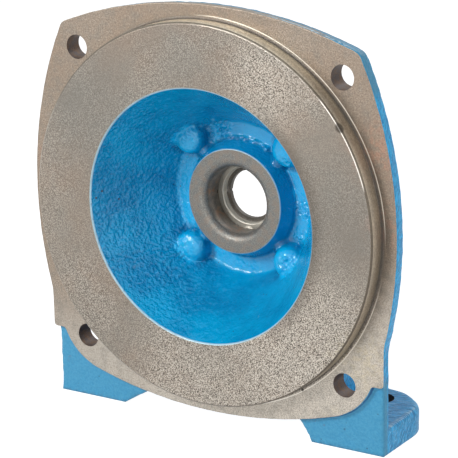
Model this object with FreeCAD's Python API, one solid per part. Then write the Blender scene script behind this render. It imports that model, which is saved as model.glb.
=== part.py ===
import FreeCAD, Part
import math
import os

from FreeCAD import Vector

# Frame: X to the right seen from the pump side, Y from the pump side to the motor side, Z up.
# Origin: on the shaft axis, in the flange face that the pump casing is bolted against.
# All lengths are millimetres.

# Casing side: flange, spigot and bolt holes
CASING_PCD = 200.0
CASING_HOLE_D = 11.5
FLANGE_HALF_WIDTH = 97.4
FLANGE_HALF_HEIGHT = 96.6
SIDE_BULGE_R = 192.0
TOP_BULGE_R = 222.0
UPPER_CORNER_R = 5.5
LOWER_CORNER_R = 30.0
FLANGE_T = 7.0
FLANGE_DRAFT_DEG = 1.5
FLANGE_REAR_BEVEL = 0.6
HOLE_PAD_R = 11.0
HOLE_PAD_T = 2.5
SPIGOT_D = 180.0
SPIGOT_H = 9.0
SPIGOT_CHAMFER = 0.8
RELIEF_W = 1.4
RELIEF_HEIGHT = 1.0
RELIEF_DEPTH = 0.4

# Cup: conical inside with a flat floor
CUP_MOUTH_D = 120.0
CUP_FLOOR_D = 73.2
FLOOR_DEPTH = 39.5
CUP_WALL = 6.5
FLOOR_CORNER_R = 3.0
CONE_ROOT_R = 5.0

# Hub with the shaft seal seat
HUB_FACE_D = 50.0
HUB_HEIGHT = 8.5
HUB_FOOT_D = 57.4
HUB_FOOT_BEVEL = 2.0
SEAT_D = 32.0
SEAT_DEPTH = 12.3
SEAT_MOUTH_R = 4.0
SEAT_UNDERCUT = 0.5
SEAT_UNDERCUT_W = 1.0
LIP_D = 27.0
LIP_LENGTH = 3.0
LIP_CHAMFER = 0.6
SHAFT_HOLE_D = 23.2

# Motor side: pad, register and tapped holes behind the rounded bosses
MOTOR_PCD = 76.0
MOTOR_TAP_D = 6.8
MOTOR_TAP_DEPTH = 13.0
DRILL_TIP_DEG = 118.0
BOSS_R = 8.0
BOSS_DOME_R = 14.0
BOSS_HEIGHT = 8.7
BOSS_RIB_W = 9.0
BOSS_RIB_HEIGHT = 4.0
BOSS_RIB_R = 1.8
ROOT_DEPTH = 3.0
PAD_MARGIN = 9.0
PAD_FACE = 42.5
REGISTER_D = 60.0
REGISTER_DEPTH = 3.0
REGISTER_CHAMFER = 0.5

# Feet
AXIS_HEIGHT = 102.5
FOOT_INSET = 8.0
FOOT_WIDTH = 37.4
LEG_STEP = 2.4
LEG_TOP = 43.2
LEFT_CHAMFER = (15.0, 9.0)
RIGHT_CHAMFER = (7.0, 11.0)
SHOULDER_INSET = 6.6
SHOULDER_BOTTOM = 69.0
SHOULDER_BLEND_R = 25.0
SHOULDER_NOTCH_R = 1.8
LUG_T = 11.9
LUG_END = 54.6
LUG_OUTER_R = 24.0
LUG_INNER_R = 6.0
LUG_BEVEL = 1.2
FOOT_HOLE_D = 14.0
FOOT_HOLE_INSET = 22.4
FOOT_HOLE_Y = 39.5
WEB_T = 5.0
WEB_TOP_FRONT = 57.0
WEB_TOP_REAR = 84.0
WEB_END = 51.5
WEB_CREST_R = 1.2

# Dimensions that follow from the ones above
FOOT_OUTER = FLANGE_HALF_WIDTH - FOOT_INSET
FOOT_INNER = FOOT_OUTER - FOOT_WIDTH
FOOT_HOLE_X = FOOT_OUTER - FOOT_HOLE_INSET
SHOULDER_HALF_WIDTH = FLANGE_HALF_WIDTH - SHOULDER_INSET
SPIGOT_FRONT = -SPIGOT_H
HOLE_XZ = CASING_PCD / 2.0 * math.sin(math.radians(45.0))
FLOOR_Y = FLOOR_DEPTH - SPIGOT_H
HUB_FACE_Y = FLOOR_Y - HUB_HEIGHT
SEAT_END_Y = HUB_FACE_Y + SEAT_DEPTH
LIP_END_Y = SEAT_END_Y + LIP_LENGTH
BOSS_XZ = MOTOR_PCD / 2.0 * math.sin(math.radians(45.0))
BOSS_FRONT_Y = FLOOR_Y - BOSS_HEIGHT
PAD_R = MOTOR_PCD / 2.0 + PAD_MARGIN
CONE_SLOPE = (CUP_MOUTH_D - CUP_FLOOR_D) / 2.0 / FLOOR_DEPTH
WALL_RADIAL = CUP_WALL * math.sqrt(1.0 + CONE_SLOPE ** 2)
HOLE_CORNERS = [(sx, sz) for sx in (-1, 1) for sz in (-1, 1)]


def outer_cone_radius(y):
    """Radius of the outside of the cup wall at the depth y."""
    return CUP_MOUTH_D / 2.0 + WALL_RADIAL - CONE_SLOPE * (y - SPIGOT_FRONT)


def cylinder_y(radius, y0, y1, x=0.0, z=0.0):
    """Solid cylinder along Y from y0 to y1."""
    return Part.makeCylinder(radius, y1 - y0, Vector(x, y0, z), Vector(0, 1, 0))


def turned(edges):
    """Solid turned about the shaft axis from a closed chain of edges (X is the radius)."""
    face = Part.Face(Part.Wire(edges))
    return face.revolve(Vector(0, 0, 0), Vector(0, 1, 0), 360)


def chain(points):
    """Straight edges that join radius and depth pairs and close the loop."""
    corners = [Vector(r, y, 0) for r, y in points]
    return [Part.makeLine(a, b) for a, b in zip(corners, corners[1:] + corners[:1])]


def prism_xz(points, y0, y1):
    """Prism along Y over a closed outline of X and Z pairs."""
    corners = [Vector(x, y0, z) for x, z in points]
    wire = Part.makePolygon(corners + corners[:1])
    return Part.Face(wire).extrude(Vector(0, y1 - y0, 0))


def edges_where(shape, test):
    """Edges of a shape whose bounding box passes the test."""
    return [edge for edge in shape.Edges if test(edge.BoundBox)]


def drafted_disc(radius, x, z):
    """Disc along Y, as thick as the flange, that narrows towards its back by the moulding draft."""
    rear = radius - FLANGE_T * math.tan(math.radians(FLANGE_DRAFT_DEG))
    return Part.makeCone(radius, rear, FLANGE_T, Vector(x, 0, z), Vector(0, 1, 0))


def bulged_plate():
    """Plate with four bulging sides, tight upper corners and wide lower corners."""
    side = SIDE_BULGE_R - FLANGE_HALF_WIDTH
    cap = TOP_BULGE_R - FLANGE_HALF_HEIGHT
    plate = drafted_disc(SIDE_BULGE_R, side, 0)
    plate = plate.common(drafted_disc(SIDE_BULGE_R, -side, 0))
    plate = plate.common(drafted_disc(TOP_BULGE_R, 0, cap))
    plate = plate.common(drafted_disc(TOP_BULGE_R, 0, -cap))
    upper = edges_where(plate, lambda b: b.YLength > FLANGE_T * 0.9 and b.XLength < 2.0 and b.ZMin > 70)
    plate = plate.makeFillet(UPPER_CORNER_R, upper)
    lower = edges_where(plate, lambda b: b.YLength > FLANGE_T * 0.9 and b.XLength < 2.0 and b.ZMax < -70)
    return plate.makeFillet(LOWER_CORNER_R, lower)


def shoulder(side):
    """Flat-sided strip of the flange face above one leg, blended into the bulging side."""
    inner = side * FOOT_INNER
    outer = side * SHOULDER_HALF_WIDTH
    bulge = SIDE_BULGE_R - FLANGE_HALF_WIDTH
    reach = SHOULDER_HALF_WIDTH + SHOULDER_BLEND_R + bulge
    drop = math.sqrt((SIDE_BULGE_R + SHOULDER_BLEND_R) ** 2 - reach ** 2)
    turn = math.atan2(drop, reach)
    centre = Vector(side * (reach - bulge), 0, -drop)
    start = centre + Vector(-side * math.cos(turn), 0, math.sin(turn)) * SHOULDER_BLEND_R
    middle = centre + Vector(-side * math.cos(turn / 2.0), 0, math.sin(turn / 2.0)) * SHOULDER_BLEND_R
    foot = Vector(outer, 0, -drop)
    corners = [
        foot,
        Vector(outer, 0, -SHOULDER_BOTTOM),
        Vector(inner, 0, -SHOULDER_BOTTOM),
        Vector(inner, 0, start.z),
        start,
    ]
    edges = [Part.Arc(start, middle, foot).toShape()]
    edges += [Part.makeLine(a, b) for a, b in zip(corners, corners[1:])]
    return Part.Face(Part.Wire(edges)).extrude(Vector(0, LEG_STEP, 0))


def flange():
    """Flange plate with the shoulders above the legs and the rear pads round the bolt holes."""
    plate = bulged_plate()
    rear = edges_where(plate, lambda b: b.YMin > FLANGE_T - 0.01)
    plate = plate.makeChamfer(FLANGE_REAR_BEVEL, rear)
    plate = plate.fuse([shoulder(-1), shoulder(1)]).removeSplitter()
    notch = edges_where(plate, lambda b: b.YMax < LEG_STEP + 0.01 and b.YLength > LEG_STEP * 0.9
                        and b.XLength < 1.0 and abs(b.ZMax + SHOULDER_BOTTOM) < 0.1)
    plate = plate.makeFillet(SHOULDER_NOTCH_R, notch)
    for sx, sz in HOLE_CORNERS:
        plate = plate.fuse(cylinder_y(HOLE_PAD_R, 1.0, FLANGE_T + HOLE_PAD_T, sx * HOLE_XZ, sz * HOLE_XZ))
    return plate


def spigot():
    """Turned locating spigot with its front chamfer."""
    edges = chain([
        (0, SPIGOT_FRONT),
        (SPIGOT_D / 2.0 - SPIGOT_CHAMFER, SPIGOT_FRONT),
        (SPIGOT_D / 2.0, SPIGOT_FRONT + SPIGOT_CHAMFER),
        (SPIGOT_D / 2.0, FLANGE_T / 2.0),
        (0, FLANGE_T / 2.0),
    ])
    return turned(edges)


def relief():
    """Undercut turned into the wall and the flange face at the foot of the spigot."""
    wall = SPIGOT_D / 2.0
    return turned(chain([
        (wall, -RELIEF_HEIGHT),
        (wall + RELIEF_W, -RELIEF_HEIGHT),
        (wall + RELIEF_W, 0),
        (wall - RELIEF_DEPTH, RELIEF_DEPTH),
    ]))


def cup_outside():
    """Cone behind the flange and the round motor pad it ends in."""
    start = FLANGE_T / 2.0
    root = FLANGE_T
    meet = SPIGOT_FRONT + (CUP_MOUTH_D / 2.0 + WALL_RADIAL - PAD_R) / CONE_SLOPE
    edges = chain([
        (0, start),
        (outer_cone_radius(root) + CONE_ROOT_R, start),
        (outer_cone_radius(root) + CONE_ROOT_R, root),
        (outer_cone_radius(root + CONE_ROOT_R), root + CONE_ROOT_R),
        (PAD_R, meet),
        (PAD_R, PAD_FACE),
        (0, PAD_FACE),
    ])
    return turned(edges)


def cup_inside():
    """Space inside the cup: cone, flat floor and the drafted side of the hub."""
    edges = chain([
        (0, SPIGOT_FRONT - 1.0),
        (CUP_MOUTH_D / 2.0 + CONE_SLOPE, SPIGOT_FRONT - 1.0),
        (CUP_FLOOR_D / 2.0, FLOOR_Y),
        (HUB_FOOT_D / 2.0, FLOOR_Y),
        (HUB_FACE_D / 2.0, HUB_FACE_Y),
        (0, HUB_FACE_Y),
    ])
    space = turned(edges)
    corner = edges_where(space, lambda b: b.YMin > FLOOR_Y - 0.01 and b.XMax > CUP_FLOOR_D / 2.0 - 0.1)
    space = space.makeFillet(FLOOR_CORNER_R, corner)
    foot = edges_where(space, lambda b: b.YMin > FLOOR_Y - 0.01 and b.XMax < HUB_FOOT_D / 2.0 + 0.1)
    return space.makeChamfer(HUB_FOOT_BEVEL, foot)


def boss(sx, sz):
    """Domed boss on the cup floor with a low rib to the hub."""
    x = sx * BOSS_XZ
    z = sz * BOSS_XZ
    body = cylinder_y(BOSS_R, BOSS_FRONT_Y - 1.0, FLOOR_Y + ROOT_DEPTH, x, z)
    middle = Vector(x, BOSS_FRONT_Y + BOSS_DOME_R, z)
    body = body.common(Part.makeSphere(BOSS_DOME_R, middle, Vector(0, 1, 0), -90, 90, 360))
    start = SEAT_D / 2.0 + SEAT_MOUTH_R
    length = MOTOR_PCD / 2.0 - start
    top = FLOOR_Y - BOSS_RIB_HEIGHT
    corner = Vector(start, top, -BOSS_RIB_W / 2.0)
    rib = Part.makeBox(length, BOSS_RIB_HEIGHT + ROOT_DEPTH, BOSS_RIB_W, corner)
    crest = edges_where(rib, lambda b: b.YMax < top + 0.01 and b.XLength > length * 0.9)
    rib = rib.makeFillet(BOSS_RIB_R, crest)
    rib.rotate(Vector(0, 0, 0), Vector(0, 1, 0), -math.degrees(math.atan2(sz, sx)))
    return body.fuse(rib)


def seal_seat():
    """Bore for the seal seat, its rounded mouth, undercut, lip and the shaft hole."""
    r = SEAT_D / 2.0
    m = SEAT_MOUTH_R
    mid = m * math.cos(math.radians(45.0))
    mouth = Part.Arc(
        Vector(r + m, HUB_FACE_Y, 0),
        Vector(r + m - mid, HUB_FACE_Y + m - mid, 0),
        Vector(r, HUB_FACE_Y + m, 0),
    ).toShape()
    points = [
        (r, HUB_FACE_Y + m),
        (r, SEAT_END_Y - SEAT_UNDERCUT_W),
        (r + SEAT_UNDERCUT, SEAT_END_Y - SEAT_UNDERCUT_W),
        (r + SEAT_UNDERCUT, SEAT_END_Y),
        (LIP_D / 2.0 + LIP_CHAMFER, SEAT_END_Y),
        (LIP_D / 2.0, SEAT_END_Y + LIP_CHAMFER),
        (LIP_D / 2.0, LIP_END_Y),
        (SHAFT_HOLE_D / 2.0, LIP_END_Y),
        (SHAFT_HOLE_D / 2.0, PAD_FACE + 1.0),
        (0, PAD_FACE + 1.0),
        (0, HUB_FACE_Y - 1.0),
        (r + m, HUB_FACE_Y - 1.0),
        (r + m, HUB_FACE_Y),
    ]
    corners = [Vector(a, b, 0) for a, b in points]
    return turned([mouth] + [Part.makeLine(a, b) for a, b in zip(corners, corners[1:])])


def register():
    """Recess in the motor pad that centres the motor, with a small lead-in."""
    r = REGISTER_D / 2.0
    return turned(chain([
        (0, PAD_FACE - REGISTER_DEPTH),
        (r, PAD_FACE - REGISTER_DEPTH),
        (r, PAD_FACE - REGISTER_CHAMFER),
        (r + REGISTER_CHAMFER, PAD_FACE),
        (r + REGISTER_CHAMFER, PAD_FACE + 1.0),
        (0, PAD_FACE + 1.0),
    ]))


def tapped_hole(x, z):
    """Blind hole in the motor pad with the cone left by the drill."""
    r = MOTOR_TAP_D / 2.0
    tip = r / math.tan(math.radians(DRILL_TIP_DEG / 2.0))
    depth = PAD_FACE - MOTOR_TAP_DEPTH
    hole = turned(chain([(0, depth - tip), (r, depth), (r, PAD_FACE + 1.0), (0, PAD_FACE + 1.0)]))
    hole.translate(Vector(x, 0, z))
    return hole


def leg(side):
    """Front plate of one leg, set back from the flange face, with its chamfered inner corner."""
    low = -AXIS_HEIGHT
    width, height = RIGHT_CHAMFER if side > 0 else LEFT_CHAMFER
    inner = FOOT_INNER - width
    points = [
        (side * FOOT_OUTER, low),
        (side * FOOT_INNER, low),
        (side * inner, low + height),
        (side * inner, -LEG_TOP),
        (side * FOOT_OUTER, -LEG_TOP),
    ]
    return prism_xz(points, LEG_STEP, FLANGE_T)


def lug(side):
    """Foot that runs back from one leg, with its rounded free end."""
    start = FLANGE_T / 2.0
    block = Part.makeBox(FOOT_WIDTH, LUG_END - start, LUG_T, Vector(FOOT_INNER, start, -AXIS_HEIGHT))
    outer = edges_where(block, lambda b: b.YMin > LUG_END - 0.1 and b.XMin > FOOT_OUTER - 0.1)
    block = block.makeFillet(LUG_OUTER_R, outer)
    inner = edges_where(block, lambda b: b.YMin > LUG_END - 0.1 and b.XMax < FOOT_INNER + 0.1)
    block = block.makeFillet(LUG_INNER_R, inner)
    top = -AXIS_HEIGHT + LUG_T
    rim = edges_where(block, lambda b: b.ZMin > top - 0.01 and b.YMax > LUG_END - LUG_OUTER_R)
    block = block.makeChamfer(LUG_BEVEL, rim)
    if side < 0:
        block = block.mirror(Vector(0, 0, 0), Vector(1, 0, 0))
    return block


def web(side):
    """Upright web on the inner side of one foot, tapering from the flange to the foot's end."""
    low = -AXIS_HEIGHT
    points = [
        (FLANGE_T / 2.0, low),
        (WEB_END, low),
        (WEB_END, -WEB_TOP_REAR),
        (FLANGE_T / 2.0, -WEB_TOP_FRONT),
    ]
    x = FOOT_INNER if side > 0 else -FOOT_INNER - WEB_T
    corners = [Vector(x, y, z) for y, z in points]
    wire = Part.makePolygon(corners + corners[:1])
    plate = Part.Face(wire).extrude(Vector(WEB_T, 0, 0))
    crest = edges_where(plate, lambda b: b.ZMax > -WEB_TOP_REAR - 0.01 and b.YLength > 30.0)
    return plate.makeFillet(WEB_CREST_R, crest)


def foot_hole(side):
    """Upright hole for the foundation bolt."""
    bottom = Vector(side * FOOT_HOLE_X, FOOT_HOLE_Y, -AXIS_HEIGHT - 1.0)
    return Part.makeCylinder(FOOT_HOLE_D / 2.0, LUG_T + 2.0, bottom, Vector(0, 0, 1))


def housing():
    """The whole casting with its machined faces and holes."""
    body = flange()
    for side in (-1, 1):
        body = body.fuse([leg(side), lug(side), web(side)])
    body = body.fuse([spigot(), cup_outside()])
    body = body.cut(cup_inside())
    for sx, sz in HOLE_CORNERS:
        body = body.fuse(boss(sx, sz))
    cuts = [relief(), seal_seat(), register()]
    through = FLANGE_T + HOLE_PAD_T + 1.0
    for sx, sz in HOLE_CORNERS:
        cuts.append(cylinder_y(CASING_HOLE_D / 2.0, -1.0, through, sx * HOLE_XZ, sz * HOLE_XZ))
        cuts.append(tapped_hole(sx * BOSS_XZ, sz * BOSS_XZ))
    for side in (-1, 1):
        cuts.append(foot_hole(side))
    return body.cut(cuts).removeSplitter()


def main():
    os.makedirs("parts", exist_ok=True)
    shape = housing()
    shape.exportStep("parts/housing.step")


main()
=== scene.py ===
import logging
import math
from dataclasses import dataclass, field
from enum import Enum
from functools import reduce
from typing import List, Mapping, Optional, Sequence, Tuple, Union

import bmesh
import bpy
import numpy as np
from mathutils import Matrix, Vector, noise


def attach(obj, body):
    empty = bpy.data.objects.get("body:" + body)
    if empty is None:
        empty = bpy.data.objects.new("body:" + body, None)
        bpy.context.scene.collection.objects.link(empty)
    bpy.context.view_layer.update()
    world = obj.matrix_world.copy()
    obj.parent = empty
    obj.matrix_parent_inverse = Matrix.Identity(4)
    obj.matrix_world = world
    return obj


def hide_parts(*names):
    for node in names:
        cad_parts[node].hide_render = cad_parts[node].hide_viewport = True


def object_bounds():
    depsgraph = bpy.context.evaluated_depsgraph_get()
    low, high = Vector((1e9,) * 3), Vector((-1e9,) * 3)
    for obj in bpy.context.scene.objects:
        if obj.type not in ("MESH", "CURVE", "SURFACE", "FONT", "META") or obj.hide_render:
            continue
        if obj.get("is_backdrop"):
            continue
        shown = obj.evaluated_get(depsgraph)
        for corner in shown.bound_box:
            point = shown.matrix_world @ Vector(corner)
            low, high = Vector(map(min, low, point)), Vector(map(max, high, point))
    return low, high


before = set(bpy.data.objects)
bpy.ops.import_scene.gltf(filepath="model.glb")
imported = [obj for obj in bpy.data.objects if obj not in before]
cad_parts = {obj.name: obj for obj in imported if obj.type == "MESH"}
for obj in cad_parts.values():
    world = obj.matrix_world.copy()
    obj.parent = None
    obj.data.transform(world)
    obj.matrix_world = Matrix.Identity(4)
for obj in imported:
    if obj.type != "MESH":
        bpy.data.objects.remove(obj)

logging.basicConfig(level=logging.INFO, format="%(message)s")
LOG = logging.getLogger("pump_housing")

MM = 0.001
NODE = "housing"
BODY = "root"
PIECE = "cast_housing"

# Sizes in millimetres that the casting's skin and its finishes share.
MOUTH_RADIUS = 60.0
SPIGOT_RADIUS = 90.0
SPIGOT_FRONT = -9.0
FLOOR_DEPTH = 30.5
HUB_RADIUS = 25.0
HUB_DEPTH = 22.0
BOSS_CIRCLE_RADIUS = 38.0
HOLE_CIRCLE_RADIUS = 100.0
DIAGONAL = math.sqrt(0.5)

Colour = Tuple[float, float, float]
Place = Tuple[float, float, float]
Number = Union[int, float]
Ring = List[bmesh.types.BMVert]

WHITE: Colour = (1.0, 1.0, 1.0)


def srgb(red: int, green: int, blue: int) -> Colour:
    """Linear values of a display colour whose parts go from 0 to 255."""
    return tuple((part / 255.0) ** 2.2 for part in (red, green, blue))


class Wire:
    """Output of a shader node that takes part in Python expressions."""

    def __init__(self, graph: "Graph", socket: bpy.types.NodeSocket) -> None:
        """Wraps one output socket of a graph."""
        self.graph = graph
        self.socket = socket

    def _join(self, other: "Value", operation: str, swapped: bool = False) -> "Wire":
        """Adds the node for an operation on this wire and another value.

        Args:
            other: The second operand.
            operation: Name of the operation, as the Math node spells it.
            swapped: Whether the other value comes first.

        Returns:
            The wire with the result.
        """
        first, second = (other, self) if swapped else (self, other)
        kinds = [value.socket.type if isinstance(value, Wire) else "" for value in (first, second)]
        if "RGBA" in kinds:
            settings = {"data_type": "RGBA", "blend_type": operation, "clamp_factor": True}
            return self.graph.node("ShaderNodeMix", settings, {0: 1.0, 6: first, 7: second}, output=2)
        if operation == "MULTIPLY" and kinds.count("VECTOR") == 1:
            vector, factor = (first, second) if kinds[0] == "VECTOR" else (second, first)
            return self.graph.node("ShaderNodeVectorMath", {"operation": "SCALE"}, {0: vector, 3: factor})
        kind = "ShaderNodeVectorMath" if "VECTOR" in kinds else "ShaderNodeMath"
        return self.graph.node(kind, {"operation": operation}, {0: first, 1: second})

    def __add__(self, other: "Value") -> "Wire":
        """Sum with another value."""
        return self._join(other, "ADD")

    def __radd__(self, other: "Value") -> "Wire":
        """Sum with a value on the left."""
        return self._join(other, "ADD", swapped=True)

    def __sub__(self, other: "Value") -> "Wire":
        """Difference from another value."""
        return self._join(other, "SUBTRACT")

    def __rsub__(self, other: "Value") -> "Wire":
        """Difference of a value on the left and this wire."""
        return self._join(other, "SUBTRACT", swapped=True)

    def __mul__(self, other: "Value") -> "Wire":
        """Product with another value."""
        return self._join(other, "MULTIPLY")

    def __rmul__(self, other: "Value") -> "Wire":
        """Product with a value on the left."""
        return self._join(other, "MULTIPLY", swapped=True)

    def __abs__(self) -> "Wire":
        """Value without its sign."""
        return self.maths("ABSOLUTE")

    def at_least(self, other: "Value") -> "Wire":
        """Larger of this wire and another value."""
        return self._join(other, "MAXIMUM")

    def maths(self, operation: str, *others: "Value") -> "Wire":
        """Result of any Math node operation on this wire and further values."""
        return self.graph.node("ShaderNodeMath", {"operation": operation}, dict(enumerate((self, *others))))

    def window(self, low: float, high: float, start: float = 0.0, end: float = 1.0) -> "Wire":
        """Smooth step of this value, from start at low to end at high."""
        sockets = {0: self, 1: low, 2: high, 3: start, 4: end}
        return self.graph.node("ShaderNodeMapRange", {"interpolation_type": "SMOOTHSTEP"}, sockets)

    def fade(self, low: float, high: float) -> "Wire":
        """Smooth step of this value, from 1 at low to 0 at high."""
        return self.window(low, high, 1.0, 0.0)

    def band(self, middle: float, half: float, soft: float) -> "Wire":
        """Mask that is 1 within half of the middle value and fades over soft."""
        return abs(self - middle).fade(half, half + soft)

    def over(self, *layers: Tuple["Value", "Value"]) -> "Wire":
        """Colour with further colours laid over it in turn, each given as its mask and itself."""
        return reduce(lambda colour, layer: self.graph.mix(layer[0], colour, layer[1]), layers, self)


Value = Union[Wire, Number, Sequence[Number]]


class Graph:
    """Node tree of a material or a world, built by expressions."""

    rays: Tuple[str, ...] = ("Is Camera Ray", "Is Glossy Ray", "Is Transmission Ray")

    def __init__(self, owner: Union[bpy.types.Material, bpy.types.World]) -> None:
        """Empties a node tree.

        Args:
            owner: The material or the world that the tree belongs to.
        """
        owner.use_nodes = True
        self.owner = owner
        self.tree = owner.node_tree
        self.tree.nodes.clear()

    def node(self, kind: str, settings: Optional[Mapping[str, object]] = None,
             sockets: Optional[Mapping[Union[int, str], Value]] = None, output: Union[int, str] = 0) -> Wire:
        """Adds one node with its settings first and its sockets after.

        Args:
            kind: The node's type.
            settings: Attributes of the node by name.
            sockets: Values or wires by socket name or index.
            output: Name or index of the output that is returned.

        Returns:
            The wire of that output.
        """
        made = self.tree.nodes.new(kind)
        for name, value in (settings or {}).items():
            setattr(made, name, value)
        for key, value in (sockets or {}).items():
            socket = made.inputs[key]
            if isinstance(value, Wire):
                self.tree.links.new(value.socket, socket)
            elif socket.type == "RGBA" and not isinstance(value, (int, float)):
                socket.default_value = (*tuple(value)[:3], 1.0)
            else:
                socket.default_value = value
        return Wire(self, made.outputs[output] if made.outputs else None)

    def vector(self, x: Value, y: Value, z: Value) -> Wire:
        """Vector made of three values."""
        return self.node("ShaderNodeCombineXYZ", sockets={0: x, 1: y, 2: z})

    def mix(self, factor: Value, first: Value, second: Value) -> Wire:
        """Colour that goes from the first to the second with the factor."""
        settings = {"data_type": "RGBA", "blend_type": "MIX", "clamp_factor": True}
        return self.node("ShaderNodeMix", settings, {0: factor, 6: first, 7: second}, output=2)

    def blend(self, factor: Value, first: Value, second: Value) -> Wire:
        """Number that goes from the first to the second with the factor."""
        return self.node("ShaderNodeMix", {"data_type": "FLOAT"}, {0: factor, 2: first, 3: second}, output=0)

    def seen(self) -> Wire:
        """Mask of the rays that see things: from the camera, off gloss and through clear matter."""
        return reduce(Wire.at_least, [self.node("ShaderNodeLightPath", output=ray) for ray in self.rays])


class SurfaceGraph(Graph):
    """Node tree of one finish, which knows its place on the object in millimetres, in the row frame."""

    def __init__(self, name: str) -> None:
        """Makes an empty material and reads the place on the object.

        Args:
            name: Name of the material.
        """
        super().__init__(bpy.data.materials.new(name))
        self.place = self.node("ShaderNodeTexCoord", output="Object") * (1.0 / MM)
        split = self.node("ShaderNodeSeparateXYZ", sockets={0: self.place})
        self.x, self.y, self.z = (Wire(self, output) for output in split.socket.node.outputs)

    @staticmethod
    def length(first: Wire, second: Wire) -> Wire:
        """Length of the slanting side over two values at right angles."""
        return (first * first + second * second).maths("SQRT")

    def radius(self) -> Wire:
        """Distance from the shaft axis."""
        return self.length(self.x, self.z)

    def turn(self) -> Wire:
        """Angle round the shaft axis in radians, from +X towards +Z."""
        return self.z.maths("ARCTAN2", self.x)

    def grain(self, size: float, detail: float = 2.0, roughness: float = 0.5, distortion: float = 0.0,
              place: Optional[Wire] = None) -> Wire:
        """Noise between about 0.25 and 0.75.

        Args:
            size: Width of its lumps in millimetres.
            detail: Number of finer layers.
            roughness: Weight of the finer layers.
            distortion: How much the pattern is bent.
            place: Where the noise is read, if not at the place on the object.

        Returns:
            The noise as a value.
        """
        sockets = {"Vector": place or self.place, "Scale": 1.0 / size, "Detail": detail,
                   "Roughness": roughness, "Distortion": distortion}
        return self.node("ShaderNodeTexNoise", sockets=sockets, output="Fac")

    def cells(self, size: float) -> Wire:
        """Distance to the nearest point of a scattered set, in cell widths."""
        sockets = {"Vector": self.place, "Scale": 1.0 / size, "Randomness": 1.0}
        return self.node("ShaderNodeTexVoronoi", {"feature": "F1"}, sockets, output="Distance")

    def relief(self, *layers: Tuple[Wire, float]) -> Wire:
        """Normal bent by height fields, one after another.

        Args:
            layers: The fields, each with the millimetres that its full range stands for.

        Returns:
            The normal.
        """
        under = {}
        for height, depth in layers:
            normal = self.node("ShaderNodeBump", sockets={
                "Height": height, "Distance": depth * MM, "Strength": 1.0, **under})
            under = {"Normal": normal}
        return normal

    def surface(self, colour: Wire, roughness: Wire, normal: Wire, metallic: float,
                others: Optional[Mapping[str, Value]] = None) -> bpy.types.Material:
        """Ends the graph in a painted or metal surface.

        Args:
            colour: Its base colour.
            roughness: Its roughness.
            normal: Its bent normal.
            metallic: Its share of metal.
            others: Further sockets of the shader by name.

        Returns:
            The finished material.
        """
        sockets = {"Base Color": colour, "Roughness": roughness, "Normal": normal, "Metallic": metallic}
        return self.finish(self.node("ShaderNodeBsdfPrincipled", sockets={**sockets, **(others or {})}))

    def finish(self, shader: Wire) -> bpy.types.Material:
        """Shows the shader on the surface and gives back the finished material."""
        self.node("ShaderNodeOutputMaterial", sockets={"Surface": shader})
        return self.owner


@dataclass(frozen=True)
class Mark:
    """Round mark on a surface, such as a stain, a chip, a pit, or a spot of painted sheen or painted shade,
    in millimetres.
    """

    centre: Place
    radius: float
    soft: float
    amount: float = 1.0

    def mask(self, graph: SurfaceGraph) -> Wire:
        """Mask that is the mark's amount inside and 0 outside."""
        away = graph.node("ShaderNodeVectorMath", {"operation": "DISTANCE"}, {0: graph.place, 1: self.centre},
                          output="Value")
        return away.window(self.radius - self.soft, self.radius + self.soft, self.amount, 0.0)


def marked(graph: SurfaceGraph, marks: Sequence[Mark]) -> Wire:
    """Strongest of several marks at each place."""
    return reduce(Wire.at_least, [mark.mask(graph) for mark in marks])


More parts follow.
